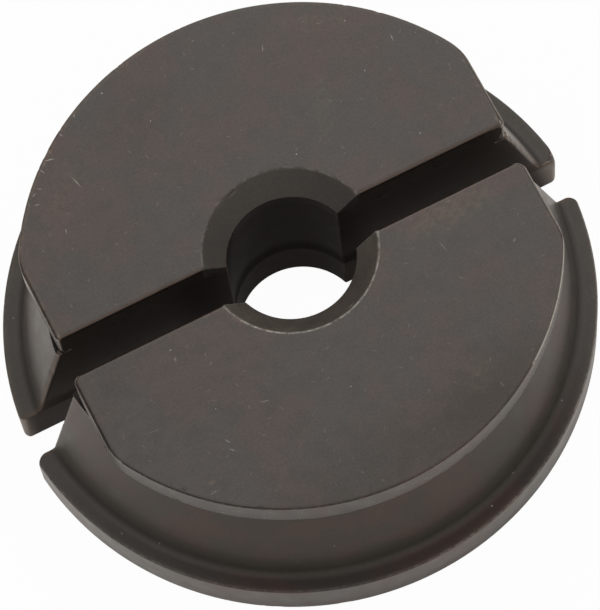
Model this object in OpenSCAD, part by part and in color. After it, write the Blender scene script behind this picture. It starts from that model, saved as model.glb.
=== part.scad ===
// Split bearing race installer: a turned steel ring cut across into two matching halves.
// Each half has a flange that pushes on the race, a tapered seat for the race, and a
// short collar that hooks over the race's far edge. Sizes in mm, +Z up, base at z = 0.

/* [Flange] */
// outside diameter of the flange
flange_diameter = 68.6; // [67:0.2:72]
// thickness of the flange
flange_thickness = 6.2; // [4:0.2:8]
// bevel around the flange's top edge
flange_edge_break = 0.4; // [0.1:0.05:0.6]
// bevel around the flange's bottom edge
base_edge_break = 0.6; // [0.1:0.1:1.2]
// rounding of the flange's corners beside the split
flange_corner_radius = 0.5; // [0.3:0.1:3]

/* [Race seat] */
// diameter of the tapered seat where it meets the flange
seat_base_diameter = 64.4; // [62:0.2:65]
// diameter of the tapered seat at its top
seat_top_diameter = 57.2; // [55:0.2:58]
// hollow rounding between the seat and the flange
seat_fillet = 1; // [0.4:0.1:1.4]
// rounding of the seat's upright edges beside the split
seat_corner_radius = 0.6; // [0.4:0.1:1.5]
// steepness with which that rounding runs out above the flange
seat_corner_run_out = 65; // [45:5:75]
// height of the narrow groove under the collar
groove_height = 1; // [0.6:0.1:2]
// how far the groove is cut in from the top of the seat
groove_depth = 1.5; // [0.6:0.1:2.4]

/* [Collar] */
// overall height
overall_height = 24.2; // [20:0.1:28]
// diameter of the collar's round part
collar_diameter = 60.8; // [59.4:0.2:63]
// height of the collar
collar_height = 4; // [2.5:0.1:5.5]
// bevel around the collar's top edge
collar_edge_break = 0.3; // [0.1:0.05:0.6]
// bevel around the collar's lower edge
collar_lower_break = 0.2; // [0.05:0.05:0.4]
// width across the flats at the two ends of the split
collar_flats_width = 54.8; // [54:0.2:57.6]
// rounding where each flat runs into the collar's round part
flat_blend_radius = 6; // [2:0.5:10]
// rounding of the collar's corners beside the split
collar_corner_radius = 1; // [0.5:0.25:2.5]

/* [Bore] */
// diameter of the bore for the driver's shaft
bore_diameter = 14.3; // [12:0.1:18]
// diameter of the countersink at the top face
countersink_diameter = 19.3; // [18.8:0.1:24]
// full angle of the countersink
countersink_angle = 89; // [80:1:110]
// bevel at the bottom end of the bore
bore_edge_break = 0.4; // [0.1:0.1:1]

/* [Split] */
// gap between the two halves as they lie
split_gap = 4.6; // [2:0.1:6]
// how far across the split each half's outside is turned from the bore's axis
turning_offset = 0.88; // [0:0.02:1.6]
// how far the outsides of the two halves lie out of line along the split
split_stagger = 0.38; // [0:0.02:1]
// bevel along the top edges of the split
split_edge_break = 0.3; // [0.1:0.05:0.6]

/* [Hidden] */
$fn = 96;

flange_r = flange_diameter / 2;
collar_r = collar_diameter / 2;
bore_r = bore_diameter / 2;
countersink_r = countersink_diameter / 2;
seat_base_r = seat_base_diameter / 2;
seat_top_r = seat_top_diameter / 2;
collar_base_z = overall_height - collar_height;
seat_top_z = collar_base_z - groove_height;
groove_r = seat_top_r - groove_depth;
flat_x = collar_flats_width / 2;
// the split face, from the bore's axis and from the axis the outside is turned about
face_y = split_gap / 2;
cut_y = face_y + turning_offset;
countersink_depth = (countersink_r - bore_r) / tan(countersink_angle / 2);

// lean of the seat from upright
seat_lean = atan((seat_base_r - seat_top_r) / (seat_top_z - flange_thickness));
// distance from the seat's foot to each end of the hollow rounding
fillet_reach = seat_fillet / tan(45 + seat_lean / 2);

past = 1;
// how far the rounding of a seat edge stands off the seat, so that the two meet in one clean line
ease = 0.05;
black_steel = [0.31, 0.285, 0.27];

// the ring's section, read outwards and up from inside the bore, before the hollow rounding is cut
module section_blank() {
  polygon([
    [bore_r / 2, 0],
    [flange_r - base_edge_break, 0],
    [flange_r, base_edge_break],
    [flange_r, flange_thickness - flange_edge_break],
    [flange_r - flange_edge_break, flange_thickness],
    [seat_base_r + fillet_reach, flange_thickness],
    [seat_base_r + fillet_reach, flange_thickness + seat_fillet],
    [seat_base_r - fillet_reach * sin(seat_lean), flange_thickness + fillet_reach * cos(seat_lean)],
    [seat_top_r, seat_top_z],
    [groove_r, seat_top_z],
    [groove_r, collar_base_z],
    [collar_r - collar_lower_break, collar_base_z],
    [collar_r, collar_base_z + collar_lower_break],
    [collar_r, overall_height - collar_edge_break],
    [collar_r - collar_edge_break, overall_height],
    [bore_r / 2, overall_height]
  ]);
}

module section() {
  difference() {
    section_blank();
    translate([seat_base_r + fillet_reach, flange_thickness + seat_fillet])
      circle(r = seat_fillet);
  }
}

// the bore with its countersink above and its small bevel below
module bore_cut() {
  rotate_extrude()
    polygon([
      [0, -past],
      [bore_r + bore_edge_break + past, -past],
      [bore_r, bore_edge_break],
      [bore_r, overall_height - countersink_depth],
      [countersink_r + past * tan(countersink_angle / 2), overall_height + past],
      [0, overall_height + past]
    ]);
}

// what is cut off an outside corner between a round wall and the split face
module round_corner_cut(wall_r, corner_r, height) {
  centre_y = cut_y + corner_r;
  centre_x = sqrt(pow(wall_r - corner_r, 2) - pow(centre_y, 2));
  touch_x = centre_x * wall_r / (wall_r - corner_r);
  touch_y = centre_y * wall_r / (wall_r - corner_r);
  difference() {
    linear_extrude(height = height)
      polygon([
        [centre_x, centre_y],
        [centre_x, cut_y - past],
        [wall_r + past, cut_y - past],
        [wall_r + past, touch_y],
        [touch_x, touch_y]
      ]);
    translate([centre_x, centre_y, -past])
      cylinder(r = corner_r, h = height + 2 * past);
  }
}

// what is cut off the corner between a collar flat and the split face
module square_corner_cut(corner_r, height) {
  difference() {
    translate([flat_x - corner_r, cut_y - past, 0])
      cube([corner_r + past, corner_r + past, height]);
    translate([flat_x - corner_r, cut_y + corner_r, -past])
      cylinder(r = corner_r, h = height + 2 * past);
  }
}

// what is cut off the corner between a collar flat and the collar's round part
module flat_blend_cut(height) {
  centre_x = flat_x - flat_blend_radius;
  centre_y = sqrt(pow(collar_r - flat_blend_radius, 2) - pow(centre_x, 2));
  touch_x = centre_x * collar_r / (collar_r - flat_blend_radius);
  touch_y = centre_y * collar_r / (collar_r - flat_blend_radius);
  difference() {
    linear_extrude(height = height)
      polygon([
        [centre_x, centre_y],
        [flat_x, centre_y],
        [flat_x + past, centre_y],
        [flat_x + past, touch_y + past],
        [touch_x + past * centre_x / centre_y, touch_y + past],
        [touch_x, touch_y]
      ]);
    translate([centre_x, centre_y, -past])
      cylinder(r = flat_blend_radius, h = height + 2 * past);
  }
}

// what is cut off the seat's leaning edge, down to where its rounding runs out
module seat_corner_cut() {
  stop_z = flange_thickness + seat_fillet;
  stop_r = seat_base_r - seat_fillet * tan(seat_lean);
  stop_x = sqrt(pow(stop_r, 2) - pow(cut_y, 2));
  intersection() {
    translate([seat_base_r + ease, 0, flange_thickness])
      rotate([0, -seat_lean, 0])
        translate([-seat_base_r, 0, -past])
          round_corner_cut(seat_base_r, seat_corner_radius, overall_height);
    translate([0, 0, stop_z])
      cube([flange_r, flange_r, seat_top_z - stop_z]);
    translate([stop_x, cut_y, stop_z + 2 * ease])
      rotate([0, seat_corner_run_out, -45])
        translate([-flange_r, -flange_r, 0])
          cube(flange_diameter);
  }
}

// everything cut away at one end of the split
module end_cuts() {
  // flat on the collar
  translate([flat_x, 0, collar_base_z - groove_height / 2])
    cube([flange_r, flange_r, overall_height]);
  translate([0, 0, collar_base_z])
    flat_blend_cut(collar_height + past);
  translate([0, 0, collar_base_z])
    square_corner_cut(collar_corner_radius, collar_height + past);
  // flange corner, as high as the hollow rounding
  translate([0, 0, -past])
    round_corner_cut(flange_r, flange_corner_radius, past + flange_thickness + seat_fillet);
  seat_corner_cut();
  // bevel along the top of the flat
  translate([flat_x, 0, overall_height])
    rotate([0, 45, 0])
      cube([split_edge_break * sqrt(2), 2 * flange_diameter, split_edge_break * sqrt(2)], center = true);
}

// the outside of one half, about the axis it is turned about
module turned_half() {
  difference() {
    intersection() {
      rotate_extrude() section();
      translate([-flange_diameter, cut_y, -past])
        cube([2 * flange_diameter, flange_diameter, overall_height + 2 * past]);
    }
    end_cuts();
    mirror([1, 0, 0]) end_cuts();
    // bevel along the top of the split face
    translate([0, cut_y, overall_height])
      rotate([45, 0, 0])
        cube([2 * flange_diameter, split_edge_break * sqrt(2), split_edge_break * sqrt(2)], center = true);
  }
}

// the same half in its place beside the bore's axis, bored
module half_ring() {
  difference() {
    translate([split_stagger / 2, -turning_offset, 0]) turned_half();
    bore_cut();
  }
}

module front_half() {
  color(black_steel)
    rotate([0, 0, 180]) half_ring();
}

module rear_half() {
  color(black_steel)
    half_ring();
}

front_half();
rear_half();
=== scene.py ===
import math

import bmesh
import bpy
from mathutils import Euler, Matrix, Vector, noise


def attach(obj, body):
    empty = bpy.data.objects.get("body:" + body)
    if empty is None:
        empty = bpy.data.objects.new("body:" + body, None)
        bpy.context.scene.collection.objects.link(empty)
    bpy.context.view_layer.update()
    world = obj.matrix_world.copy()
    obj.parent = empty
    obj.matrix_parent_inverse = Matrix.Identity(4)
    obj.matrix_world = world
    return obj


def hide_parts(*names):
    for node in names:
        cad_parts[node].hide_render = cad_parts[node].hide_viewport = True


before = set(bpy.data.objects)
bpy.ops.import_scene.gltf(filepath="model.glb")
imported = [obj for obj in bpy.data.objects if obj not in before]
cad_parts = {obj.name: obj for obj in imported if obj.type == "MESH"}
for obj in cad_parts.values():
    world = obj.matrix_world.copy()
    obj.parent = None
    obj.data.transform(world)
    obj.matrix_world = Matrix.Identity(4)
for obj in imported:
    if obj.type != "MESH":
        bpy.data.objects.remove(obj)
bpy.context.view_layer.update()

mm = 0.001
print("frame loaded")

# sizes in mm: the main ones as in the part's own source, the seat and groove as the photo shows them
ringSizes = {
    "flangeRadius": 34.29,
    "flangeThickness": 6.2,
    "flangeEdge": 0.3,
    "flangeCornerRise": 1.9,  # the corners are broken rounder over this height below the flange's top
    "baseEdge": 0.6,
    "seatBaseRadius": 32.2,
    "seatLean": 16.8,
    "seatFillet": 1.0,
    "seatTopEdge": 0.2,
    "grooveHeight": 0.35,
    "grooveRadius": 26.6,
    "height": 24.2,
    "collarRadius": 30.4,
    "collarHeight": 4.0,
    "collarEdge": 0.34,
    "roundBevelShare": 0.6,  # the bevel is narrower round the collar than along its flats
    # a cut edge with its two arrises just broken: depth below the top and distance drawn back, as shares
    "bevelShape": [(1.0, 0.0), (0.83, 0.05), (0.74, 0.13), (0.435, 0.435), (0.13, 0.74), (0.05, 0.83),
                   (0.0, 1.0)],
    "collarLowerEdge": 0.2,
    "flatX": 27.4,
    "flatBlend": 6.0,
    "smallestBlend": 0.5,
    "smallestCorner": 0.15,
    "boreRadius": 7.15,
    "boreEdge": 0.4,
    "boreCorner": 0.22,
    "countersinkRadius": 9.65,
    "countersinkHalfAngle": 44.5,
    "countersinkEdge": 0.1,
    "countersinkEdgeShare": 0.8,
    "faceY": 2.3,
    "turningOffset": 0.88,  # from the bore's axis back to the axis the outside is turned about
    "stagger": 0.19,  # each outside's own shift along the split
    "splitTopEdge": 0.42,
    "splitBaseEdge": 0.3,
    # how much smaller the corners beside the split get on the way into the groove
    "cornerLoss": {"seatTop": 0.1, "ledge": 0.15, "groove": 0.2},
    # steps along each stretch of the outline, and how strongly they crowd at its ends
    "splitSteps": 26,
    "splitTight": 0.85,
    "cornerSteps": 8,
    "flatSteps": 12,
    "flatTight": 0.3,
    "blendSteps": 8,
    "arcSteps": 220,
    "boreSteps": 80,
    "boreCornerSteps": 3,
    # the levels, as heights or distances in mm, or as shares of their stretch
    "capRings": [0.2, 0.45, 0.8, 1.3, 2.0],
    "wallLevels": [1.0, 1.8, 3.0, 4.0, 4.5, 4.9, 5.2, 5.5, 5.75],
    "flangeTopShares": [0.25, 0.5, 0.75],
    "seatLevels": 30,
    "seatEdgeShares": [0.35, 0.65, 0.88, 1.0],
    "ledgeShares": [0.25, 0.9],
    "grooveGap": 0.04,
    "lipInsets": [0.35, 0.1],
    "lipShares": [0.0, 0.5, 1.0],
    "collarShares": [0.06, 0.16, 0.28, 0.4, 0.52, 0.64, 0.76, 0.86, 0.94],
    "sinkLevels": [-0.2, -0.06, 0.0, 0.08, 0.3],
    "roundSteps": {"base": 6, "flange": 5, "collar": 4, "fillet": 8},
    # how far from its edges the half ring is marked, where on the collar's rim the wear lies, and where on
    # the flats the band of wear and painted highlight starts
    "edgeReach": 3.0,
    "collarBand": 0.5,
    "rimMiddle": 0.4,
    "rubAndHighlightStart": 1.4,
    # which wear and rust belong to which place: bands in mm, turns in degrees from the middle of the back
    "flatBand": 0.3,
    "rimBand": 0.6,
    "rimRustDepth": 0.5,
    "grooveBand": 0.01,
    "footBand": 0.6,
    "seatEndTurn": 70.0,
    "flangeEndTurn": 40.0,
    "seatBackWear": 0.1,
    "flangeBackShare": 0.7,
    "baseWear": 0.2,
    "baseRust": 0.1,
    # small knocks along the edges: scale and share of each noise, where they start and how deep they go
    "knockReach": 0.45,
    "knockNoise": [(0.55, 0.6), (1.9, 0.4)],
    "knockFrom": 0.3,
    "knockDepth": 0.3,
    "knockTowards": (0.55, 14.0, 11.0),  # share of the point's own x, then y and z in mm
    # the burr, on the upright edge above the seat's middle and outside the groove
    "burrFrom": 13.5,
    "burrReach": 0.7,
    "burrClear": 0.5,
    "burrScale": 1.7,
    "burrSeed": 4,  # without one the clock would choose the burr, another in each run
    "mergeWithin": 0.002,
    "thinnest": 0.0005,
}

# the corners beside the split were deburred by hand, so each end has its own rounding, in mm;
# the last is how far down its flat a bright band runs, partly wear and partly painted highlight of the flat's
# wall, where that is more than the edge itself
frontEnds = {
    "plus": {"flangeCorner": 0.75, "flangeTopCorner": 1.2, "seatCorner": 0.5, "collarCorner": 0.9,
             "burr": 0.0, "rubAndHighlightDepth": 0.75},
    "minus": {"flangeCorner": 0.6, "flangeTopCorner": 1.1, "seatCorner": 0.5, "collarCorner": 1.2,
              "burr": 0.0, "rubAndHighlightDepth": 0.0},
}
rearEnds = {
    "plus": {"flangeCorner": 0.8, "flangeTopCorner": 2.1, "seatCorner": 0.5, "collarCorner": 0.4,
             "burr": 0.14, "rubAndHighlightDepth": 0.0},
    "minus": {"flangeCorner": 0.7, "flangeTopCorner": 0.8, "seatCorner": 0.6, "collarCorner": 0.55,
              "burr": 0.0, "rubAndHighlightDepth": 0.75},
}


def roundedInset(radius, depth):
    # how far a rounded edge has drawn back at this depth below its face
    if depth >= radius:
        return 0.0
    return radius - math.sqrt(max(radius * radius - (radius - depth) ** 2, 0.0))


def spread(start, stop, steps, tight):
    # steps+1 values from start to stop, closer together at both ends
    values = []
    for i in range(steps + 1):
        t = i / steps
        eased = 0.5 - 0.5 * math.cos(math.pi * t)
        values.append(start + (stop - start) * (t * (1 - tight) + eased * tight))
    return values


def arcPoints(centre, radius, fromAngle, toAngle, steps):
    return [(centre[0] + radius * math.cos(fromAngle + (toAngle - fromAngle) * i / steps),
             centre[1] + radius * math.sin(fromAngle + (toAngle - fromAngle) * i / steps))
            for i in range(steps + 1)]


def outline(level, sizes, boreX):
    # the right-hand half of one level's outline, from the bore along the split face and round the outside
    # to the middle of the back, measured from the axis the outside is turned about
    wallR, corner, flatX, inner, face = (level[k] for k in ("wall", "corner", "flat", "inner", "face"))
    boreCorner, boreY = sizes["boreCorner"], sizes["turningOffset"]
    insetInner = math.sqrt((inner + boreCorner) ** 2 - (face - boreY + boreCorner) ** 2)
    innerTouch = math.atan2(face - boreY + boreCorner, insetInner)
    insetInner += boreX
    # bore, from the middle to the split
    points = arcPoints((boreX, boreY), inner, math.pi / 2, innerTouch, sizes["boreSteps"] // 2)
    # rounded edge between bore and split face
    points += arcPoints((insetInner, face + boreCorner), boreCorner, innerTouch + math.pi, 1.5 * math.pi,
                        sizes["boreCornerSteps"])[1:]
    clipped = flatX is not None and flatX < wallR
    if clipped:
        cornerCentre = (flatX - corner, face + corner)
        cornerEnd = 0.0
    else:
        cornerY = face + corner
        cornerCentre = (math.sqrt((wallR - corner) ** 2 - cornerY ** 2), cornerY)
        cornerEnd = math.atan2(cornerCentre[1], cornerCentre[0])
    # split face
    along = spread(insetInner, cornerCentre[0], sizes["splitSteps"], sizes["splitTight"])
    points += [(x, face) for x in along[1:]]
    # corner beside the split
    points += arcPoints(cornerCentre, corner, -math.pi / 2, cornerEnd, sizes["cornerSteps"])[1:]
    blend = sizes["flatBlend"] - (sizes["collarRadius"] - wallR if clipped else 0.0)
    if clipped and blend > sizes["smallestBlend"] and flatX - blend < wallR:
        # flat, and the rounding where it runs into the round part
        blendCentre = (flatX - blend, math.sqrt(max((wallR - blend) ** 2 - (flatX - blend) ** 2, 0.0)))
        endTurn = math.atan2(blendCentre[1], blendCentre[0])
        along = spread(cornerCentre[1], blendCentre[1], sizes["flatSteps"], sizes["flatTight"])
        points += [(flatX, y) for y in along[1:]]
        points += arcPoints(blendCentre, blend, 0.0, endTurn, sizes["blendSteps"])[1:]
    else:
        # the same number of points round a wall without a flat
        blendX = sizes["flatX"] - sizes["flatBlend"]
        blendY = math.sqrt((sizes["collarRadius"] - sizes["flatBlend"]) ** 2 - blendX ** 2)
        endTurn = math.atan2(blendY, blendX)
        midTurn = math.atan2(blendY, sizes["flatX"])
        points += arcPoints((0, 0), wallR, cornerEnd, midTurn, sizes["flatSteps"])[1:]
        points += arcPoints((0, 0), wallR, midTurn, endTurn, sizes["blendSteps"])[1:]
    points += arcPoints((0, 0), wallR, endTurn, math.pi / 2, sizes["arcSteps"] // 2)[1:]
    return points


def seatRadiusAt(z, sizes):
    slope = math.tan(math.radians(sizes["seatLean"]))
    return sizes["seatBaseRadius"] - (z - sizes["flangeThickness"]) * slope


def levelList(sizes, end):
    # every level of the half ring from the underside to the top, as (height, measures)
    top, flangeTop = sizes["height"], sizes["flangeThickness"]
    lip = top - sizes["collarHeight"]
    seatTop = lip - sizes["grooveHeight"]
    sinkSlope = math.tan(math.radians(sizes["countersinkHalfAngle"]))
    sinkDepth = (sizes["countersinkRadius"] - sizes["boreRadius"]) / sinkSlope
    levels = []

    def innerAt(z):
        down = top - z
        if down < sinkDepth:
            drawnBack = roundedInset(sizes["countersinkEdge"], down) * sizes["countersinkEdgeShare"]
            return sizes["countersinkRadius"] - down * sinkSlope + drawnBack
        return sizes["boreRadius"] + roundedInset(sizes["boreEdge"], z)

    def faceAt(z):
        drawnBack = roundedInset(sizes["splitTopEdge"], top - z) + roundedInset(sizes["splitBaseEdge"], z)
        return sizes["faceY"] + sizes["turningOffset"] + drawnBack

    def add(z, wall, corner, flat=None, inset=0.0):
        levels.append((z, {
            "wall": wall - inset,
            "corner": max(corner - inset, sizes["smallestCorner"]),
            "flat": None if flat is None else flat - inset,
            "inner": innerAt(z) + inset,
            "face": faceAt(z) + inset,
            "inset": inset,
        }))

    def quarter(radius, steps):
        # a rounded edge, as (distance from one face, distance drawn back from the other)
        turns = [math.pi / 2 * i / steps for i in range(steps + 1)]
        return [(radius * (1 - math.cos(turn)), radius * (1 - math.sin(turn))) for turn in turns]

    # underside and the flange's wall, each corner broken rounder towards the flange's top
    steps = sizes["roundSteps"]
    base, flangeR, flangeC = sizes["baseEdge"], sizes["flangeRadius"], end["flangeCorner"]
    for inset in reversed(sizes["capRings"]):
        add(0.0, flangeR - base, flangeC - base, inset=inset)
    for up, back in quarter(base, steps["base"]):
        add(up, flangeR - back, flangeC - back)
    edge, rise = sizes["flangeEdge"], sizes["flangeCornerRise"]
    plainWall = [(flangeTop - z, 0.0) for z in sizes["wallLevels"]]
    for down, back in plainWall + list(reversed(quarter(edge, steps["flange"]))):
        rounder = (end["flangeTopCorner"] - end["flangeCorner"]) * max(1 - down / rise, 0.0) ** 2
        flangeC = end["flangeCorner"] + rounder
        add(flangeTop - down, flangeR - back, flangeC - back)
    # flange top, then the hollow rounding up into the seat
    lean, fillet = math.radians(sizes["seatLean"]), sizes["seatFillet"]
    foot = sizes["seatBaseRadius"] + fillet / math.tan(math.radians(45) + lean / 2)
    seatC, loss = end["seatCorner"], sizes["cornerLoss"]
    for t in sizes["flangeTopShares"]:
        wall = flangeR - edge + (foot - flangeR + edge) * t
        add(flangeTop, wall, flangeC - edge + (seatC - flangeC + edge) * t)
    sweep = math.pi / 2 - lean
    for i in range(steps["fillet"] + 1):
        turn = sweep * i / steps["fillet"]
        add(flangeTop + fillet * (1 - math.cos(turn)), foot - fillet * math.sin(turn), seatC)
    # seat
    seatStart, seatEdge = flangeTop + fillet * (1 - math.cos(sweep)), sizes["seatTopEdge"]
    for i in range(1, sizes["seatLevels"] + 1):
        z = seatStart + (seatTop - seatEdge - seatStart) * i / sizes["seatLevels"]
        add(z, seatRadiusAt(z, sizes), seatC)
    edgeR = seatRadiusAt(seatTop - seatEdge, sizes)
    for back in sizes["seatEdgeShares"]:
        z = seatTop - seatEdge * (1 - math.sqrt(1 - (1 - back) ** 2))
        add(z, edgeR - seatEdge * (1 - math.cos(math.asin(back))), seatC - loss["seatTop"])
    # ledge and groove, then the collar's underside
    groove, gap = sizes["grooveRadius"], sizes["grooveGap"]
    for t in sizes["ledgeShares"]:
        add(seatTop, edgeR - seatEdge + (groove - edgeR + seatEdge) * t, seatC - loss["ledge"])
    for z in (seatTop + gap, seatTop + sizes["grooveHeight"] * 0.5, lip - gap):
        add(z, groove, seatC - loss["groove"])
    collarR, collarC, flat = sizes["collarRadius"], end["collarCorner"], sizes["flatX"]
    low, (farIn, nearIn) = sizes["collarLowerEdge"], sizes["lipInsets"]
    add(lip, groove + 2 * gap, seatC - loss["groove"])
    add(lip, flat - low - farIn, seatC)
    for t in sizes["lipShares"]:
        wall = flat - low - nearIn + (collarR - low - flat + low + nearIn) * t
        add(lip, wall, collarC - low, flat - low)
    for up, back in quarter(low, steps["collar"])[1:]:
        add(lip + up, collarR - back, collarC - back, flat - back)
    # collar, its bevel and the top
    edge = sizes["collarEdge"]
    for t in sizes["collarShares"]:
        add(lip + low + (sizes["collarHeight"] - low - edge) * t, collarR, collarC, flat)
    for downShare, backShare in sizes["bevelShape"]:
        back = edge * backShare
        roundBack = max(back - edge * (1 - sizes["roundBevelShare"]), 0.0)
        add(top - edge * downShare, collarR - roundBack, collarC - back, flat - back)
    for inset in sizes["capRings"]:
        add(top, collarR - edge * sizes["roundBevelShare"], collarC - edge, flat - edge, inset=inset)
    # extra levels where only the bore and the split face change
    known = [z for z, measures in levels]
    for z in [top - sinkDepth + step for step in sizes["sinkLevels"]]:
        if min(abs(z - other) for other in known) > 0.01:
            add(z, collarR, collarC, flat)
    order = sorted(range(len(levels)), key=lambda i: (round(levels[i][0], 6), i))
    return [levels[i] for i in order]


def edgeDistance(x, y, z, level, sizes, boreX, rubAndHighlightDepth):
    # distance in mm from the nearest edge of the half ring, and from the upright edge outside the split
    top = sizes["height"]
    lip = top - sizes["collarHeight"]
    seatTop = lip - sizes["grooveHeight"]
    cutY = sizes["faceY"] + sizes["turningOffset"]
    r = math.hypot(x, y)
    fromBore = math.hypot(x - boreX, y - sizes["turningOffset"])
    fromCollar = sizes["edgeReach"]
    if z > lip - sizes["collarBand"]:
        fromCollar = min(max(sizes["collarRadius"] - r, 0.0), abs(abs(x) - sizes["flatX"]))
    drop = top - z
    if rubAndHighlightDepth > 0.0:
        # the bright band, partly wear and partly painted highlight, from just under the bevel down to the
        # given depth
        fromRubAndHighlight = max(sizes["collarEdge"] * sizes["rubAndHighlightStart"] - drop, drop - rubAndHighlightDepth, 0.0)
    else:
        fromRubAndHighlight = abs(drop - sizes["collarEdge"] * sizes["rimMiddle"])
    found = [
        math.hypot(r - sizes["flangeRadius"], z),
        math.hypot(r - sizes["flangeRadius"], z - sizes["flangeThickness"]),
        math.hypot(r - seatRadiusAt(seatTop, sizes), z - seatTop),
        math.hypot(fromCollar, fromRubAndHighlight),
        math.hypot(fromCollar, z - lip),
        math.hypot(fromBore - sizes["countersinkRadius"], z - top),
        math.hypot(fromBore - sizes["boreRadius"], z),
        math.hypot(y - cutY, z - top),
        math.hypot(y - cutY, z),
    ]
    # upright edges beside the split, outside and at the bore
    inset = level["inset"]
    face, wall, inner = level["face"] - inset, level["wall"] + inset, level["inner"] - inset
    outerX = math.sqrt(max(wall ** 2 - face ** 2, 0.0))
    if level["flat"] is not None:
        outerX = min(outerX, level["flat"] + inset)
    upright = math.hypot(abs(x) - outerX, y - face)
    innerX = math.sqrt(max(inner ** 2 - (face - sizes["turningOffset"]) ** 2, 0.0))
    found += [upright, math.hypot(abs(x - boreX) - innerX, y - face)]
    return min(min(found), sizes["edgeReach"]), upright


def edgeShares(x, y, z, sizes, rubbed):
    # how strongly the edge beside this point is worn bright, and how strongly it has browned
    top, lip = sizes["height"], sizes["height"] - sizes["collarHeight"]
    own = rubbed["plus" if x > 0 else "minus"]
    turn = math.degrees(math.atan2(abs(x), y))
    if lip - sizes["grooveHeight"] - sizes["grooveBand"] < z < lip + sizes["grooveBand"]:
        return 0.0, 0.0
    if z > lip:
        onFlat = abs(x) > sizes["flatX"] - sizes["rimBand"]
        if onFlat or math.hypot(x, y) > sizes["collarRadius"] - sizes["rimBand"]:
            # where a flat carries its rubbed band, the bright wear there is partly painted highlight of the
            # flat's wall
            wear = own["flat"] if onFlat or turn > own["curveFrom"] else rubbed["back"]
            return wear, own["rimRust"] if z > top - sizes["rimRustDepth"] else 0.0
        return rubbed["split"], 0.0
    if z > sizes["flangeThickness"] + sizes["footBand"]:
        return own["seatEdge"] if turn > sizes["seatEndTurn"] else sizes["seatBackWear"], 0.0
    if z > sizes["flangeThickness"] / 2:
        share = 1.0 if turn > sizes["flangeEndTurn"] else sizes["flangeBackShare"]
        return own["flange"] * share, own["flangeRust"]
    return sizes["baseWear"], sizes["baseRust"]


def ringPoints(sizes, ends, rubbed):
    # every point of a half ring, level by level, and what each carries for its knocks and its looks
    boreX = -sizes["stagger"]
    points, rings = [], []
    carried = {"edgeMm": [], "wearShare": [], "rustShare": [], "burr": []}
    for (z, plus), (z, minus) in zip(levelList(sizes, ends["plus"]), levelList(sizes, ends["minus"])):
        # each end runs from the middle of the bore out to the middle of the back; the two close the loop
        right = outline(plus, sizes, boreX)
        left = [(-x, y) for x, y in reversed(outline(minus, sizes, -boreX)[1:-1])]
        rings.append(range(len(points), len(points) + len(right) + len(left)))
        for x, y in right + left:
            points.append((x, y, z))
            level, own = (plus, ends["plus"]) if x > 0 else (minus, ends["minus"])
            # on the flats the bright band of wear and painted highlight reaches further down
            onFlat = abs(abs(x) - sizes["flatX"]) < sizes["flatBand"]
            near, upright = edgeDistance(x, y, z, level, sizes, boreX, own["rubAndHighlightDepth"] if onFlat else 0.0)
            outside = level["wall"] > sizes["grooveRadius"] + sizes["burrClear"]
            torn = upright < sizes["burrReach"] and z > sizes["burrFrom"] and outside
            wear, rust = edgeShares(x, y, z, sizes, rubbed)
            carried["edgeMm"].append(near)
            carried["wearShare"].append(wear)
            carried["rustShare"].append(rust)
            carried["burr"].append(own["burr"] if torn else 0.0)
    return points, rings, carried


def placedPoint(point, near, burr, sizes, sign):
    # the point in its place in the frame, in mm, with small knocks along the edges
    x, y, z = (point[0] + sizes["stagger"]) * sign, (point[1] - sizes["turningOffset"]) * sign, point[2]
    if near >= sizes["knockReach"]:
        return x, y, z
    p = Vector((x, y, z))
    knock = sum(noise.noise(p * scale) * share for scale, share in sizes["knockNoise"])
    depth = max(knock - sizes["knockFrom"], 0.0) * sizes["knockDepth"]
    shareX, towardsY, towardsZ = sizes["knockTowards"]
    middle = Vector((x * shareX, sign * towardsY, towardsZ))
    p += (middle - p).normalized() * depth
    if burr > 0.0:
        # a torn edge left by the saw
        p += noise.noise_vector(p * sizes["burrScale"]) * burr
    return p.x, p.y, min(p.z, sizes["height"])


def makeHalfRing(name, body, node, sign, sizes, ends, rubbed):
    points, rings, carried = ringPoints(sizes, ends, rubbed)
    count = len(rings[0])
    faces = []
    for low, high in zip(rings[:-1], rings[1:]):
        for i in range(count):
            j = (i + 1) % count
            faces.append((low[i], low[j], high[j], high[i]))
    faces.append(tuple(reversed(rings[0])))
    faces.append(tuple(rings[-1]))
    burrs = carried.pop("burr")
    placed = [placedPoint(point, near, burr, sizes, sign)
              for point, near, burr in zip(points, carried["edgeMm"], burrs)]
    mesh = bpy.data.meshes.new(name)
    mesh.from_pydata([(x * mm, y * mm, z * mm) for x, y, z in placed], [], faces)
    for title, values in carried.items():
        mesh.attributes.new(title, "FLOAT", "POINT").data.foreach_set("value", values)
    obj = bpy.data.objects.new(name, mesh)
    bpy.context.scene.collection.objects.link(obj)
    bm = bmesh.new()
    bm.from_mesh(mesh)
    bmesh.ops.remove_doubles(bm, verts=bm.verts, dist=sizes["mergeWithin"] * mm)
    bmesh.ops.dissolve_degenerate(bm, dist=sizes["thinnest"] * mm, edges=bm.edges)
    bmesh.ops.triangulate(bm, faces=[f for f in bm.faces if len(f.verts) > 4], ngon_method="BEAUTY")
    bmesh.ops.recalc_face_normals(bm, faces=bm.faces)
    bm.to_mesh(mesh)
    bm.free()
    for poly in mesh.polygons:
        poly.use_smooth = True
    weighted = obj.modifiers.new("faceWeights", "WEIGHTED_NORMAL")
    weighted.mode = "FACE_AREA"
    weighted.weight = 80
    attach(obj, body)
    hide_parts(node)
    print(name, len(mesh.vertices), "vertices", len(mesh.polygons), "faces")
    return obj


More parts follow.
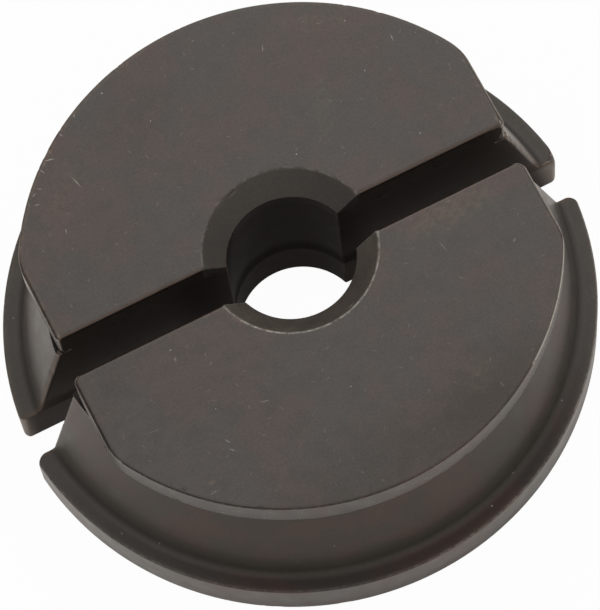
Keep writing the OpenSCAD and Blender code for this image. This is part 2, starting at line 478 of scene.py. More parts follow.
# how far the edges are rubbed bright and browned, as shares; each end beside the split has its own
frontRubbed = {
    "split": 0.5,
    "back": 0.15,
    "plus": {"flat": 0.5, "curveFrom": 62.0, "seatEdge": 0.2, "flange": 0.4,
             "rimRust": 0.0, "flangeRust": 0.15},
    "minus": {"flat": 0.85, "curveFrom": 35.0, "seatEdge": 0.4, "flange": 0.7,
              "rimRust": 0.15, "flangeRust": 0.4},
}
rearRubbed = {
    "split": 0.2,
    "back": 0.3,
    "plus": {"flat": 0.7, "curveFrom": 60.0, "seatEdge": 0.9, "flange": 0.5,
             "rimRust": 0.3, "flangeRust": 0.2},
    "minus": {"flat": 0.5, "curveFrom": 60.0, "seatEdge": 0.25, "flange": 0.4,
              "rimRust": 0.9, "flangeRust": 0.6},
}

# the front half is the same piece turned half a turn
noise.seed_set(ringSizes["burrSeed"])
frontHalf = makeHalfRing("frontHalfRing", "front", "front_half", -1.0, ringSizes, frontEnds, frontRubbed)
rearHalf = makeHalfRing("rearHalfRing", "rear", "rear_half", 1.0, ringSizes, rearEnds, rearRubbed)
print("half rings made")


def hexColour(text):
    # sRGB hex to linear
    channels = [int(text[i:i + 2], 16) / 255 for i in (1, 3, 5)]
    return tuple(c / 12.92 if c <= 0.04045 else ((c + 0.055) / 1.055) ** 2.4 for c in channels) + (1.0,)


def addNode(tree, kind, inputs=None, **settings):
    # one node with its settings; an input takes a value, a socket, or the first live output of another node
    node = tree.nodes.new("ShaderNode" + kind)
    for key, value in settings.items():
        setattr(node, key, value)
    for socket, source in (inputs or {}).items():
        if isinstance(source, bpy.types.Node):
            source = next(out for out in source.outputs if out.enabled)
        if isinstance(source, bpy.types.NodeSocket):
            tree.links.new(source, node.inputs[socket])
        else:
            node.inputs[socket].default_value = source
    return node


oxideSteel = {
    # turned faces: a deep brown-black oxide that only lights up at a flat angle
    "turned": "#443F3B",
    "turnedWarm": "#4C403C",
    "foot": "#4C4842",  # painted light: the hollow at the seat's foot is coloured paler, as the light it shows
    "ledge": "#1E1B19",  # painted shade: the groove under the collar is coloured dark as the shade there, but not in the filled patches
    "filled": [((27.6, 3.5, 20.0), (2.6, 2.6, 1.6)), ((-26.9, 2.3, 20.0), (0.9, 0.8, 1.6))],
    "filledSoft": (1.0, 0.8),
    "flangePale": "#504C48",  # the flange's top is rubbed paler towards the split
    "paleFrom": 16.0,
    "paleTo": 29.0,
    "sawn": "#584B43",  # the split faces are browner
    "turnedRoughness": 0.36,
    "roughnessDrift": (-0.04, 0.05),
    "flangeRoughness": 0.62,
    "collarRoughness": 0.29,
    # ground top faces: the same oxide over a grey-brown matt grain; the sawn split faces come close to them
    "ground": "#4E4B48",
    "groundWarm": "#524A47",
    # the darker tone of the mottle, and of the painted shade on the front top
    "groundDarkAndShade": "#443F3B",
    "groundRoughness": 0.5,
    "sink": "#56504B",
    "sinkPaintedLight": "#696159",  # painted light: the nearer half of the countersink is coloured paler, as the light it shows
    "litSinkReach": 2.0,
    "sinkRoughness": 0.62,
    "metallic": 0.85,  # the oxide film dulls the metal a little
    "splitShare": 0.9,
    # where one finish gives way to the next, in mm, as (not yet, fully there)
    "topSkin": (0.016, 0.004),
    "splitSkin": (0.5, 0.2),
    "flangeFade": (3.2, 0.8),
    "flangeSkin": 0.2,
    "footSkin": (0.02, 0.3),
    "ledgeSkin": 0.03,
    "ledgeInside": (1.4, 1.0),
    "sinkRadius": 9.8,
    "sinkDepth": 2.6,
    "zoneSoft": 0.1,
    # sizes of the patterns, in mm
    "clouds": 9.0,
    "mottle": 2.2,
    "grain": 0.24,  # drawn coarser than the real 0.05 mm, to show at this size
    "grainHeight": 0.004,
    # how the patterns mix and drift
    "mottleInClouds": 0.35,
    "warmFrom": 0.55,
    "warmTo": 0.8,
    "mottleDark": 0.35,
    "freckleMottle": 0.6,
    "freckleShade": (0.82, 1.14),
    # darker patches on the tops: the first two are painted shade over the front half's top, darker towards
    # the front and the right, the others darker clouds in the oxide; place in mm, turn in degrees,
    # half-lengths, strength
    "shadeAndDarkClouds": [
        (2.0, -29.0, 0.0, 27.0, 9.5, 0.5),
        (13.0, -24.5, 20.0, 11.0, 7.0, 0.5),
        (-24.0, -4.5, 60.0, 5.0, 3.0, 0.25),
        (-8.0, 22.0, 15.0, 9.0, 5.0, 0.18),
    ],
    "shadeAndCloudSoft": (1.0, 0.2),
    "shadeAndCloudDeep": 1.0,
    # edges rubbed bright, down to the bare steel
    "bare": "#B9B4AA",
    "bareRoughness": 0.34,
    "wearReach": 0.24,
    "wearFull": 0.02,
    "wearBreak": 0.6,
    "biteShare": 0.42,
    "biteFrom": 0.56,
    "biteTo": 0.82,
    # thin brown rust film along rims and in rubbed patches
    "rust": "#76685C",
    "rustReach": 0.8,
    "rustCover": 0.7,
    "rustRoughness": 0.12,  # how much rougher it makes the steel
    "rustBreak": 0.9,
    "rubs": [  # place in mm, turn in degrees, half-lengths, strength
        (17.5, -4.2, 0.0, 6.5, 1.9, 0.6),
        (17.9, -4.7, 0.0, 1.2, 0.8, 0.7),
        (11.5, -22.3, 30.0, 2.6, 1.8, 0.35),
        (-19.3, -19.9, 0.0, 0.5, 0.45, 0.9),
        (14.6, 23.1, -25.0, 5.5, 1.5, 0.3),
        (10.9, 14.0, 70.0, 5.0, 1.4, 0.25),
        (-19.8, 17.0, 50.0, 8.0, 3.0, 0.22),
    ],
    "rubSoft": (1.3, 0.1),
    "rubDeep": 0.3,
    # light scratches and bright specks: place in mm, turn in degrees, half-length, half-width, strength
    "scratches": [
        (-17.3, 18.1, 24.2, -75.0, 0.8, 0.045, 0.8),
        (8.0, 22.9, 24.2, -109.0, 0.5, 0.045, 0.5),
        (-20.8, 13.4, 24.2, -98.0, 0.35, 0.045, 0.6),
        (21.3, 17.3, 24.2, -95.0, 0.45, 0.045, 0.7),
        (14.9, -7.4, 24.2, -78.0, 0.8, 0.04, 0.35),
        (-10.2, -14.4, 24.2, -14.0, 0.6, 0.05, 0.4),
        (-22.4, -11.9, 24.2, -5.0, 0.8, 0.04, 0.3),
        (-15.8, -16.6, 24.2, -61.0, 0.35, 0.06, 0.45),
        (-15.8, -17.7, 24.2, -50.0, 0.35, 0.06, 0.45),
        (-19.6, -21.1, 24.2, 8.0, 0.45, 0.05, 0.4),
        (13.2, -24.5, 24.2, -81.0, 0.4, 0.04, 0.4),
        (-10.7, -29.0, 14.0, -111.0, 0.6, 0.1, 0.3),
        (-28.9, 7.6, 14.0, -75.0, 1.5, 0.07, 0.45),
        (-28.2, 8.6, 14.0, -68.0, 1.0, 0.06, 0.35),
        (-10.2, 26.4, 24.2, 0.0, 0.09, 0.09, 1.0),
        (17.6, 21.6, 24.2, 0.0, 0.08, 0.08, 0.9),
        (18.8, 5.6, 24.2, 0.0, 0.08, 0.08, 0.9),
        (22.1, -10.4, 24.2, 40.0, 0.3, 0.14, 0.2),
        (-16.7, -4.4, 24.2, 0.0, 0.1, 0.1, 0.6),
        (-16.7, -5.6, 24.2, 70.0, 0.3, 0.12, 0.3),
        # ticks across the rear half's left rim
        (-18.8, 21.9, 24.2, 165.6, 0.5, 0.05, 0.9),
        (-20.1, 21.0, 24.2, 113.8, 0.35, 0.05, 0.8),
        (-21.3, 19.3, 24.2, 147.8, 0.3, 0.05, 0.6),
        (-22.1, 18.9, 24.2, 199.4, 0.3, 0.05, 0.8),
        (-14.1, 25.4, 24.2, 79.1, 0.25, 0.05, 0.7),
        (-22.3, 17.7, 24.2, 166.6, 0.35, 0.05, 0.6),
        (-16.4, 24.0, 24.2, 114.3, 0.3, 0.05, 0.6),
        # the crest of the rear half's right flange corner
        (33.0, 2.6, 6.2, 11.0, 0.6, 0.05, 0.7),
        (33.4, 2.4, 6.2, 19.0, 0.4, 0.06, 0.6),
        (33.9, 3.3, 6.2, 35.0, 0.3, 0.05, 0.6),
        (33.8, 2.4, 6.2, 22.0, 0.4, 0.07, 0.5),
        (-29.5, -14.8, 6.2, 0.0, 0.11, 0.11, 1.0),
        (-26.3, -17.9, 6.2, 0.0, 0.1, 0.1, 0.8),
        (-15.3, -27.3, 6.2, 0.0, 0.08, 0.08, 0.7),
        (8.4, -31.0, 6.2, 0.0, 0.12, 0.12, 1.0),
        (21.0, -23.7, 6.2, 0.0, 0.1, 0.1, 0.8),
        (20.3, -23.2, 6.3, 0.0, 0.08, 0.08, 0.8),
        (12.2, -28.8, 6.2, 20.0, 0.2, 0.06, 0.8),
        (16.0, -25.8, 7.0, 0.0, 0.1, 0.08, 0.8),
        (11.4, -26.9, 9.0, 0.0, 0.1, 0.1, 0.7),
    ],
    "scratchSoft": (1.4, 0.1),
    "scratchDeep": 0.8,
    "scratchShare": 0.75,
    "scratchBreak": 0.3,
    # dust specks
    "speckCell": 1.4,
    "speckSize": 0.06,
    "speckSmallest": 0.3,
    "speckShare": 0.16,
    "speckRubbed": 0.6,
    "dust": "#B9B4AA",
    "dustCover": 0.75,
    "dustMetal": -0.7,
    # faint short strokes: spacing, half-length and half-width, and how many and how strong
    "strokeCell": 1.5,
    "strokeHalves": [0.34, 0.06],
    "strokeFrom": 0.75,
    "strokeRubbed": 0.6,
    "strokeShare": 0.2,
    # turning marks, in mm (pitch drawn coarser than the real 0.1); they swing half their height each way
    "turnPitch": 0.3,
    "turnHeight": 0.0012,
}


def patchShare(tree, place, middle, turn, halves, soft, strength):
    # an elliptic patch laid on the steel: nothing outside its rim, its full strength inside its core
    rim, core = soft
    turned = (0.0, 0.0, math.radians(turn))
    laid = addNode(tree, "Mapping", {"Vector": place, "Location": middle, "Rotation": turned,
                                     "Scale": halves}, vector_type="TEXTURE")
    away = addNode(tree, "VectorMath", {0: laid}, operation="LENGTH")
    return addNode(tree, "MapRange", {"Value": away, "From Min": rim, "From Max": core, "To Max": strength},
                   interpolation_type="SMOOTHSTEP")


def steelZones(tree, look, sizes):
    # masks for the parts of the half ring that were finished in different ways, and for the places that take
    # painted light and shade, and the place in mm
    coords = addNode(tree, "TexCoord")
    place = addNode(tree, "VectorMath", {0: coords.outputs["Object"], "Scale": 1.0 / mm}, operation="SCALE")
    axes = addNode(tree, "SeparateXYZ", {0: place}).outputs
    x, y, z = axes
    top, flangeTop, soft = sizes["height"], sizes["flangeThickness"], look["zoneSoft"]
    # the ground top and the sawn split faces
    start, full = look["topSkin"]
    onTop = addNode(tree, "MapRange", {"Value": z, "From Min": top - start, "From Max": top - full})
    below = addNode(tree, "Math", {0: 1.0, 1: onTop}, operation="SUBTRACT")
    start, full = look["splitSkin"]
    fromSplit = addNode(tree, "Math", {0: y}, operation="ABSOLUTE")
    onSplit = addNode(tree, "MapRange", {"Value": fromSplit, "From Min": sizes["faceY"] + start,
                                         "From Max": sizes["faceY"] + full, "To Max": look["splitShare"]})
    matt = addNode(tree, "Math", {0: onTop, 1: onSplit}, operation="MAXIMUM")
    split = addNode(tree, "Math", {0: onSplit, 1: below}, operation="MULTIPLY")
    # the countersink
    flat = addNode(tree, "CombineXYZ", {0: x, 1: y})
    fromAxis = addNode(tree, "VectorMath", {0: flat}, operation="LENGTH")
    inside = addNode(tree, "MapRange", {"Value": fromAxis, "From Min": look["sinkRadius"] + soft,
                                        "From Max": look["sinkRadius"]})
    floor = top - look["sinkDepth"]
    above = addNode(tree, "MapRange", {"Value": z, "From Min": floor - soft, "From Max": floor,
                                       "To Max": inside})
    inSink = addNode(tree, "Math", {0: above, 1: below}, operation="MULTIPLY")
    # the flange's top with the hollow rounding behind it
    start, full = look["flangeFade"]
    overFlange = addNode(tree, "MapRange", {"Value": z, "From Min": flangeTop + start,
                                            "From Max": flangeTop + full}, interpolation_type="SMOOTHSTEP")
    onFlange = addNode(tree, "MapRange", {"Value": z, "From Min": flangeTop - look["flangeSkin"],
                                          "From Max": flangeTop, "To Max": overFlange})
    # the hollow at the seat's foot, which is painted paler as light
    start, full = look["footSkin"]
    footLow = addNode(tree, "MapRange", {"Value": z, "From Min": flangeTop + start,
                                         "From Max": flangeTop + full})
    foot = addNode(tree, "Math", {0: footLow, 1: overFlange}, operation="MULTIPLY")
    # the ledge in the groove, painted dark as the shade under the collar, and the collar's wall over it
    lip = top - sizes["collarHeight"]
    halfGroove = sizes["grooveHeight"] / 2
    level = addNode(tree, "Math", {0: z, 1: lip - halfGroove, 2: halfGroove + look["ledgeSkin"]},
                    operation="COMPARE")
    # the ledge under the collar, which takes the painted shade
    start, full = look["ledgeInside"]
    ledge = addNode(tree, "MapRange", {"Value": fromAxis, "From Min": sizes["flatX"] - start,
                                       "From Max": sizes["flatX"] - full, "To Max": level})
    for middle, halves in look["filled"]:
        filled = patchShare(tree, place, middle, 0.0, halves, look["filledSoft"], 1.0)
        ledge = addNode(tree, "Math", {0: ledge, 1: filled}, operation="SUBTRACT", use_clamp=True)
    onCollar = addNode(tree, "MapRange", {"Value": z, "From Min": lip, "From Max": lip + soft,
                                          "To Max": below})
    zones = {"top": onTop, "matt": matt, "split": split, "sink": inSink, "flange": onFlange, "foot": foot,
             "ledge": ledge, "collar": onCollar}
    return place, axes, zones


def oxideColour(tree, look, place, axes, zones, mottle, grain, top):
    # turned and ground faces, each drifting between a cooler and a warmer tone, with clouds and a fine grain;
    # painted shade darkens the front top and the ledge, painted light makes the seat's foot and the nearer
    # countersink paler
    clouds = addNode(tree, "TexNoise", {"Vector": place, "Scale": 1.0 / look["clouds"], "Detail": 4.0,
                                        "Roughness": 0.6})
    drift = addNode(tree, "Math", {0: mottle, 1: look["mottleInClouds"], 2: clouds}, operation="MULTIPLY_ADD")
    warmth = addNode(tree, "MapRange", {"Value": drift, "From Min": look["warmFrom"],
                                        "From Max": look["warmTo"]}, interpolation_type="SMOOTHSTEP")
    sideways = addNode(tree, "Math", {0: axes[0]}, operation="ABSOLUTE")
    pale = addNode(tree, "MapRange", {"Value": sideways, "From Min": look["paleFrom"],
                                      "From Max": look["paleTo"], "To Max": zones["flange"]},
                   interpolation_type="SMOOTHSTEP")
    darkAndShaded = addNode(tree, "MapRange", {"Value": mottle, "From Min": 0.6, "From Max": 0.35,
                                      "To Max": look["mottleDark"]})
    # the first two patches are painted shade on the front top, the others darker clouds in the oxide
    for cx, cy, turn, halfLong, halfWide, strength in look["shadeAndDarkClouds"]:
        halves = (halfLong, halfWide, look["shadeAndCloudDeep"])
        shadeAndCloud = patchShare(tree, place, (cx, cy, top), turn, halves, look["shadeAndCloudSoft"], strength)
        darkAndShaded = addNode(tree, "Math", {0: darkAndShaded, 1: shadeAndCloud}, operation="ADD")
    # painted light: the countersink's nearer half is made paler
    reach = look["litSinkReach"]
    litSinkShare = addNode(tree, "MapRange", {"Value": axes[1], "From Min": reach, "From Max": -reach})
    # the colours of each finish, with the painted light at the seat's foot and in the nearer countersink and
    # the painted shade on the front top and the ledge, then one finish laid over the other
    finishes = {}
    for first, layers in (("turned", ((warmth, "turnedWarm"), (zones["foot"], "foot"), (pale, "flangePale"))),
                          ("ground", ((warmth, "groundWarm"), (darkAndShaded, "groundDarkAndShade"))),
                          ("sink", ((litSinkShare, "sinkPaintedLight"),))):
        tone = hexColour(look[first])
        for share, over in layers:
            tone = addNode(tree, "Mix", {0: share, 6: tone, 7: hexColour(look[over])}, data_type="RGBA")
        finishes[first] = tone
    colour = finishes["turned"]
    for share, over in ((zones["matt"], finishes["ground"]), (zones["split"], hexColour(look["sawn"])),
                        (zones["sink"], finishes["sink"]), (zones["ledge"], hexColour(look["ledge"]))):
        colour = addNode(tree, "Mix", {0: share, 6: colour, 7: over}, data_type="RGBA")
    freckle = addNode(tree, "Math", {0: mottle, 1: look["freckleMottle"], 2: grain}, operation="MULTIPLY_ADD")
    darkest, lightest = look["freckleShade"]
    shade = addNode(tree, "MapRange", {"Value": freckle, "From Min": 0.45, "From Max": 1.15,
                                       "To Min": darkest, "To Max": lightest})
    grey = addNode(tree, "CombineXYZ", {0: shade, 1: shade, 2: shade})
    return addNode(tree, "Mix", {0: 1.0, 6: colour, 7: grey}, data_type="RGBA", blend_type="MULTIPLY")


def rustFilm(tree, look, place, edgeMm, top):
    # brown rust: rims by the stored share, and rubbed patches on the tops, both broken up
    broken = addNode(tree, "TexNoise", {"Vector": place, "Scale": 1.0 / look["rustBreak"], "Detail": 4.0,
                                        "Roughness": 0.65})
    rimShare = addNode(tree, "Attribute", attribute_name="rustShare").outputs["Fac"]
    rim = addNode(tree, "MapRange", {"Value": edgeMm, "From Min": look["rustReach"], "From Max": 0.0,
                                     "To Max": rimShare})
    rimBreak = addNode(tree, "MapRange", {"Value": broken, "From Min": 0.36, "From Max": 0.6})
    film = addNode(tree, "Math", {0: rim, 1: rimBreak}, operation="MULTIPLY")
    patchBreak = addNode(tree, "MapRange", {"Value": broken, "From Min": 0.36, "From Max": 0.68},
                         interpolation_type="SMOOTHSTEP")
    for cx, cy, turn, halfLong, halfWide, strength in look["rubs"]:
        halves = (halfLong, halfWide, look["rubDeep"])
        patch = patchShare(tree, place, (cx, cy, top), turn, halves, look["rubSoft"], strength)
        patch = addNode(tree, "Math", {0: patch, 1: patchBreak}, operation="MULTIPLY")
        film = addNode(tree, "Math", {0: film, 1: patch}, operation="MAXIMUM")
    return film


def wornShare(tree, look, place, edgeMm):
    # bare steel where the edges are worn through
    wearShare = addNode(tree, "Attribute", attribute_name="wearShare").outputs["Fac"]
    nearEdge = addNode(tree, "MapRange", {"Value": edgeMm, "From Min": look["wearReach"],
                                          "From Max": look["wearFull"]}, interpolation_type="SMOOTHSTEP")
    broken = addNode(tree, "TexNoise", {"Vector": place, "Scale": 1.0 / look["wearBreak"], "Detail": 3.0,
                                        "Roughness": 0.7})
    bitten = addNode(tree, "Math", {0: wearShare, 1: look["biteShare"], 2: broken}, operation="MULTIPLY_ADD")
    bitten = addNode(tree, "MapRange", {"Value": bitten, "From Min": look["biteFrom"],
                                        "From Max": look["biteTo"], "To Max": wearShare})
    return addNode(tree, "Math", {0: nearEdge, 1: bitten}, operation="MULTIPLY")


def strokeShare(tree, look, place, zones, film):
    # faint short strokes on the tops, each laid its own way, closer together where they are rubbed
    laid = addNode(tree, "VectorMath", {0: place, "Scale": 1.0 / look["strokeCell"]}, operation="SCALE")
    strokes = addNode(tree, "TexVoronoi", {"Vector": laid, "Scale": 1.0, "Randomness": 1.0},
                      voronoi_dimensions="2D", feature="F1")
    lot = addNode(tree, "SeparateColor", {0: strokes.outputs["Color"]})
    offset = addNode(tree, "VectorMath", {0: laid, 1: strokes.outputs["Position"]}, operation="SUBTRACT")
    angle = addNode(tree, "Math", {0: lot.outputs[1], 1: math.pi}, operation="MULTIPLY")
    offset = addNode(tree, "VectorRotate", {"Vector": offset, "Angle": angle}, rotation_type="Z_AXIS")
    halves = [look["strokeCell"] / half for half in look["strokeHalves"]] + [0.0]
    across = addNode(tree, "VectorMath", {0: offset, 1: halves}, operation="MULTIPLY")
    away = addNode(tree, "VectorMath", {0: across}, operation="LENGTH")
    faint = addNode(tree, "MapRange", {"Value": away, "From Min": 1.0, "From Max": 0.2,
                                       "To Max": zones["top"]})
    share = addNode(tree, "Math", {0: film, 1: look["strokeRubbed"], 2: lot.outputs[0]},
                    operation="MULTIPLY_ADD")
    chosen = addNode(tree, "MapRange", {"Value": share, "From Min": look["strokeFrom"], "From Max": 1.0,
                                        "To Max": look["strokeShare"]})
    return addNode(tree, "Math", {0: faint, 1: chosen}, operation="MULTIPLY")


def bareShare(tree, look, place, zones, film, edgeMm):
    # bare steel where the edges are worn through, and along the scratches and strokes
    scratched = strokeShare(tree, look, place, zones, film)
    for cx, cy, cz, turn, halfLong, halfWide, strength in look["scratches"]:
        halves = (halfLong, halfWide, look["scratchDeep"])
        scratch = patchShare(tree, place, (cx, cy, cz), turn, halves, look["scratchSoft"],
                             strength * look["scratchShare"])
        scratched = addNode(tree, "Math", {0: scratched, 1: scratch}, operation="MAXIMUM")
    fine = addNode(tree, "TexNoise", {"Vector": place, "Scale": 1.0 / look["scratchBreak"], "Detail": 1.0})
    uneven = addNode(tree, "MapRange", {"Value": fine, "From Min": 0.3, "From Max": 0.6, "To Min": 0.45})
    scratched = addNode(tree, "Math", {0: scratched, 1: uneven}, operation="MULTIPLY")
    worn = wornShare(tree, look, place, edgeMm)
    return addNode(tree, "Math", {0: worn, 1: scratched}, operation="MAXIMUM")


def dustShare(tree, look, place, film):
    # scattered light specks of unlike size
    specks = addNode(tree, "TexVoronoi", {"Vector": place, "Scale": 1.0 / look["speckCell"],
                                          "Randomness": 1.0}, feature="F1")
    lot = addNode(tree, "SeparateColor", {0: specks.outputs["Color"]})
    unit = look["speckSize"] / look["speckCell"]
    size = addNode(tree, "Math", {0: lot.outputs[1], 1: unit, 2: look["speckSmallest"] * unit},
                   operation="MULTIPLY_ADD")
    share = addNode(tree, "Math", {0: film, 1: look["speckRubbed"], 2: look["speckShare"]},
                    operation="MULTIPLY_ADD")
    chosen = addNode(tree, "Math", {0: lot.outputs[0], 1: share}, operation="LESS_THAN")
    inside = addNode(tree, "Math", {0: specks.outputs["Distance"], 1: size}, operation="LESS_THAN")
    return addNode(tree, "Math", {0: chosen, 1: inside}, operation="MULTIPLY")


def steelBump(tree, look, axes, zones, grain, sizes):
    # turning marks run round each outside's own axis and fade out on the ground and sawn faces;
    # grain lies everywhere
    x, y, z = axes
    side = addNode(tree, "Math", {0: y}, operation="SIGN")
    centre = addNode(tree, "CombineXYZ", {0: sizes["stagger"], 1: -sizes["turningOffset"]})
    centre = addNode(tree, "VectorMath", {0: centre, "Scale": side}, operation="SCALE")
    flat = addNode(tree, "CombineXYZ", {0: x, 1: y})
    radius = addNode(tree, "VectorMath", {0: flat, 1: centre}, operation="DISTANCE")
    along = addNode(tree, "Math", {0: radius, 1: z}, operation="ADD")
    along = addNode(tree, "Math", {0: along, 1: 2 * math.pi / look["turnPitch"]}, operation="MULTIPLY")
    marks = addNode(tree, "Math", {0: along}, operation="SINE")
    swing = addNode(tree, "MapRange", {"Value": zones["matt"], "To Min": look["turnHeight"] / 2,
                                       "To Max": 0.0})
    marks = addNode(tree, "Math", {0: marks, 1: swing}, operation="MULTIPLY")
    height = addNode(tree, "Math", {0: grain, 1: look["grainHeight"], 2: marks}, operation="MULTIPLY_ADD")
    return addNode(tree, "Bump", {"Strength": 1.0, "Distance": mm, "Height": height})


def makeOxideSteel(look, sizes):
    # black oxide over turned and ground steel: it gives the eye a satin brown-black, bright where rubbed
    material = bpy.data.materials.new("blackOxideSteel")
    material.use_nodes = True
    tree = material.node_tree
    tree.nodes.clear()
    place, axes, zones = steelZones(tree, look, sizes)
    edgeMm = addNode(tree, "Attribute", attribute_name="edgeMm").outputs["Fac"]
    mottle = addNode(tree, "TexNoise", {"Vector": place, "Scale": 1.0 / look["mottle"], "Detail": 4.0,
                                        "Roughness": 0.6})
    grain = addNode(tree, "TexNoise", {"Vector": place, "Scale": 1.0 / look["grain"], "Detail": 2.0,
                                       "Roughness": 0.55})
    film = rustFilm(tree, look, place, edgeMm, sizes["height"])
    bare = bareShare(tree, look, place, zones, film, edgeMm)
    dust = dustShare(tree, look, place, film)

    # the oxide, then rust, bare steel and dust over it
    colour = oxideColour(tree, look, place, axes, zones, mottle, grain, sizes["height"])
    rustCover = addNode(tree, "Math", {0: film, 1: look["rustCover"]}, operation="MULTIPLY")
    dustCover = addNode(tree, "Math", {0: dust, 1: look["dustCover"]}, operation="MULTIPLY")
    for share, over in ((rustCover, "rust"), (bare, "bare"), (dustCover, "dust")):
        colour = addNode(tree, "Mix", {0: share, 6: colour, 7: hexColour(look[over])}, data_type="RGBA")

    # roughness of each zone, then what wear and rust do to it
    turned = look["turnedRoughness"]
    less, more = look["roughnessDrift"]
    rough = addNode(tree, "MapRange", {"Value": mottle, "From Min": 0.3, "From Max": 0.7,
                                       "To Min": turned + less, "To Max": turned + more})
    for share, own in ((zones["top"], "groundRoughness"), (zones["sink"], "sinkRoughness"),
                       (zones["flange"], "flangeRoughness"), (zones["collar"], "collarRoughness"),
                       (bare, "bareRoughness")):
        rough = addNode(tree, "Math", {0: share, 1: look[own] - turned, 2: rough}, operation="MULTIPLY_ADD")
    rough = addNode(tree, "Math", {0: film, 1: look["rustRoughness"], 2: rough}, operation="MULTIPLY_ADD",
                    use_clamp=True)
    metal = addNode(tree, "Math", {0: dust, 1: look["dustMetal"], 2: look["metallic"]},
                    operation="MULTIPLY_ADD")
    bump = steelBump(tree, look, axes, zones, grain, sizes)
    shader = addNode(tree, "BsdfPrincipled", {"Base Color": colour, "Metallic": metal, "Roughness": rough,
                                              "Normal": bump})
    addNode(tree, "OutputMaterial", {"Surface": shader})
    return material


steel = makeOxideSteel(oxideSteel, ringSizes)
for half in (frontHalf, rearHalf):
    half.data.materials.append(steel)
print("materials made")

# places and sizes in metres, the shadow's and the gap's in mm
studio = {
    "floorSize": 3.0,
    "floorDrop": 0.00002,  # just clear of the underside
    "floorColour": "#F4F3F1",
    "cameraPlace": (-0.050421, -0.152722, 0.431495),
    "cameraTurn": (20.51604, 3.12479, -26.60114),
    "lens": 237.053,
    "sensor": 36.0,
    "floorGlow": 0.97,  # how white the camera sees the floor; the rest is its own light and the shadow
    # what the steel mirrors of the floor: its shadow close by, and the light that comes down the gap
    "mirrorGlow": 1.0,
    "mirrorShade": 0.085,
    "mirrorTint": "#FFFAF4",
    "shadowFrom": 31.5,
    "shadowTo": 35.5,
    "gapHalf": 2.3,
    "gapFrom": 7.0,
    "gapTo": 13.0,
    "gapGlow": 0.17,
    "nearShade": 0.86,
    "nearFade": (0.2, 0.95),
    # what it mirrors of the air: darker at the horizon, most so on the left
    "airSoft": 0.55,
    "horizonLeft": 0.12,
    "horizonRight": 0.6,
    "horizonSides": (-0.8, 0.6),
    "horizonFrom": 0.05,
    "horizonTo": 0.7,  # sine of the elevation at which the mirrored air is fully white
    "keyPlace": (0.25, 0.45, 0.7),
    "keyAim": (0.0, 0.0, 0.01),
    "keySize": 0.5,
    "keyWatts": 1.5,
}
pureWhite = hexColour("#FFFFFF")


def makePaper(setup):
    # white table paper: the camera sees it white, mirrors too but for the shadow right under the steel
    paper = bpy.data.materials.new("whitePaper")
    paper.use_nodes = True
    tree = paper.node_tree
    tree.nodes.clear()
    path = addNode(tree, "LightPath").outputs
    position = addNode(tree, "NewGeometry").outputs["Position"]
    away = addNode(tree, "VectorMath", {0: position}, operation="LENGTH")
    lit = addNode(tree, "MapRange", {"Value": away, "From Min": setup["shadowFrom"] * mm,
                                     "From Max": setup["shadowTo"] * mm, "To Min": setup["mirrorShade"],
                                     "To Max": setup["mirrorGlow"]}, interpolation_type="SMOOTHSTEP")
    # a little daylight comes down the gap between the halves, but not under the bore
    x, y = addNode(tree, "SeparateXYZ", {0: position}).outputs[:2]
    inGap = addNode(tree, "Math", {0: y, 1: 0.0, 2: setup["gapHalf"] * mm}, operation="COMPARE")
    gapLight = addNode(tree, "Math", {0: inGap, 1: setup["gapGlow"]}, operation="MULTIPLY")
    along = addNode(tree, "Math", {0: x}, operation="ABSOLUTE")
    reach = addNode(tree, "MapRange", {"Value": along, "From Min": setup["gapFrom"] * mm,
                                       "From Max": setup["gapTo"] * mm, "To Max": gapLight})
    lit = addNode(tree, "Math", {0: lit, 1: reach}, operation="MAXIMUM")
    # a little darker on the side where the photographer stands
    heading = addNode(tree, "VectorMath", {0: position}, operation="NORMALIZE")
    near = Vector(setup["cameraPlace"][:2] + (0.0,)).normalized()
    facing = addNode(tree, "VectorMath", {0: heading, 1: near}, operation="DOT_PRODUCT")
    start, full = setup["nearFade"]
    dimmed = addNode(tree, "MapRange", {"Value": facing, "From Min": start, "From Max": full, "To Min": 1.0,
                                        "To Max": setup["nearShade"]}, interpolation_type="SMOOTHSTEP")
    level = addNode(tree, "Math", {0: lit, 1: dimmed}, operation="MULTIPLY")
    diffuse = addNode(tree, "BsdfDiffuse", {"Color": hexColour(setup["floorColour"])})
    white = addNode(tree, "Emission", {"Color": pureWhite, "Strength": 1.0})
    mirror = addNode(tree, "Emission", {"Color": hexColour(setup["mirrorTint"]), "Strength": level})
    cameraShare = addNode(tree, "Math", {0: path["Is Camera Ray"], 1: setup["floorGlow"]},
                          operation="MULTIPLY")
    mirrorShare = addNode(tree, "Math", {0: path["Is Glossy Ray"], 1: path["Is Transmission Ray"]},
                          operation="MAXIMUM")
    seen = addNode(tree, "MixShader", {"Fac": cameraShare, 1: diffuse, 2: white})
    both = addNode(tree, "MixShader", {"Fac": mirrorShare, 1: seen, 2: mirror})
    addNode(tree, "OutputMaterial", {"Surface": both})
    return paper


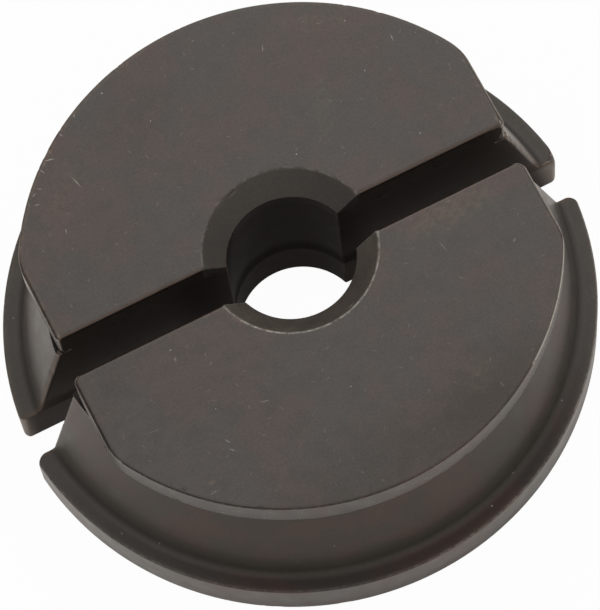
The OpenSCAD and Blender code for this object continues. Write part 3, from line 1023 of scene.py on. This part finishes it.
def makeAir(setup):
    # soft white air: mirrors see it white overhead and greyer towards the horizon
    air = bpy.data.worlds.new("studioAir")
    air.use_nodes = True
    tree = air.node_tree
    tree.nodes.clear()
    path = addNode(tree, "LightPath").outputs
    heading = addNode(tree, "TexCoord").outputs["Generated"]
    aside, ahead, rise = addNode(tree, "SeparateXYZ", {0: heading}).outputs
    left, right = setup["horizonSides"]
    horizon = addNode(tree, "MapRange", {"Value": aside, "From Min": left, "From Max": right,
                                         "To Min": setup["horizonLeft"], "To Max": setup["horizonRight"]})
    level = addNode(tree, "MapRange", {"Value": rise, "From Min": setup["horizonFrom"],
                                       "From Max": setup["horizonTo"], "To Min": horizon, "To Max": 1.0},
                    interpolation_type="SMOOTHSTEP")
    soft, white, mirror = (addNode(tree, "Background", {"Color": pureWhite, "Strength": strength})
                           for strength in (setup["airSoft"], 1.0, level))
    mirrorShare = addNode(tree, "Math", {0: path["Is Glossy Ray"], 1: path["Is Transmission Ray"]},
                          operation="MAXIMUM")
    lit = addNode(tree, "MixShader", {"Fac": mirrorShare, 1: soft, 2: mirror})
    both = addNode(tree, "MixShader", {"Fac": path["Is Camera Ray"], 1: lit, 2: white})
    addNode(tree, "OutputWorld", {"Surface": both})
    return air


def makeStudio(setup):
    scene = bpy.context.scene
    half = setup["floorSize"] / 2
    corners = [(-half, -half, 0), (half, -half, 0), (half, half, 0), (-half, half, 0)]
    mesh = bpy.data.meshes.new("floor")
    mesh.from_pydata(corners, [], [(0, 1, 2, 3)])
    floor = bpy.data.objects.new("floor", mesh)
    floor.location.z = -setup["floorDrop"]
    scene.collection.objects.link(floor)
    mesh.materials.append(makePaper(setup))
    scene.world = makeAir(setup)

    keyData = bpy.data.lights.new("softKey", "AREA")
    keyData.shape = "SQUARE"
    keyData.size = setup["keySize"]
    keyData.energy = setup["keyWatts"]
    key = bpy.data.objects.new("softKey", keyData)
    key.location = setup["keyPlace"]
    towards = Vector(setup["keyAim"]) - Vector(setup["keyPlace"])
    key.rotation_euler = towards.to_track_quat("-Z", "Y").to_euler()
    scene.collection.objects.link(key)

    cameraData = bpy.data.cameras.new("camera")
    cameraData.lens = setup["lens"]
    cameraData.sensor_width = setup["sensor"]
    camera = bpy.data.objects.new("camera", cameraData)
    camera.location = setup["cameraPlace"]
    camera.rotation_euler = Euler([math.radians(a) for a in setup["cameraTurn"]], "XYZ")
    scene.collection.objects.link(camera)
    scene.camera = camera
    scene.view_settings.view_transform = "Standard"


makeStudio(studio)
print("studio made")
